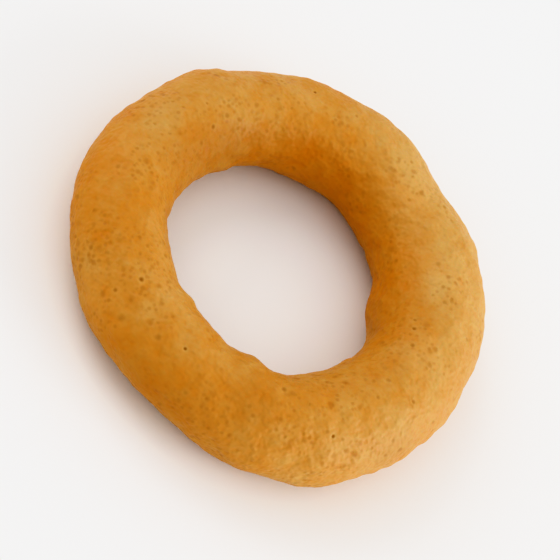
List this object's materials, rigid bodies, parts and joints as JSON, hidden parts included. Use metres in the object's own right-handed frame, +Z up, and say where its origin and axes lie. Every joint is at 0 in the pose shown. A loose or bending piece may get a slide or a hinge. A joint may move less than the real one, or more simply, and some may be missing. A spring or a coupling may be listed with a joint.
{
  "type": "onion ring",
  "caption": "Battered, deep-fried onion ring: a closed golden ring with a soft lumpy coat, lying flat with an open hole through its middle.",
  "frame": {"origin": "on the surface that the ring rests on, under the middle of its bounding box", "axes": "+Z up through the hole, -Y towards the side that the viewer stands on, +X to that viewer's right"},
  "size_m": [0.0722, 0.0718, 0.0174],
  "materials": {
    "batter": "golden fried batter, satin, with fine pores and browned specks"
  },
  "bodies": {
    "root": {"onion_ring": "batter"}
  },
  "joints": []
}
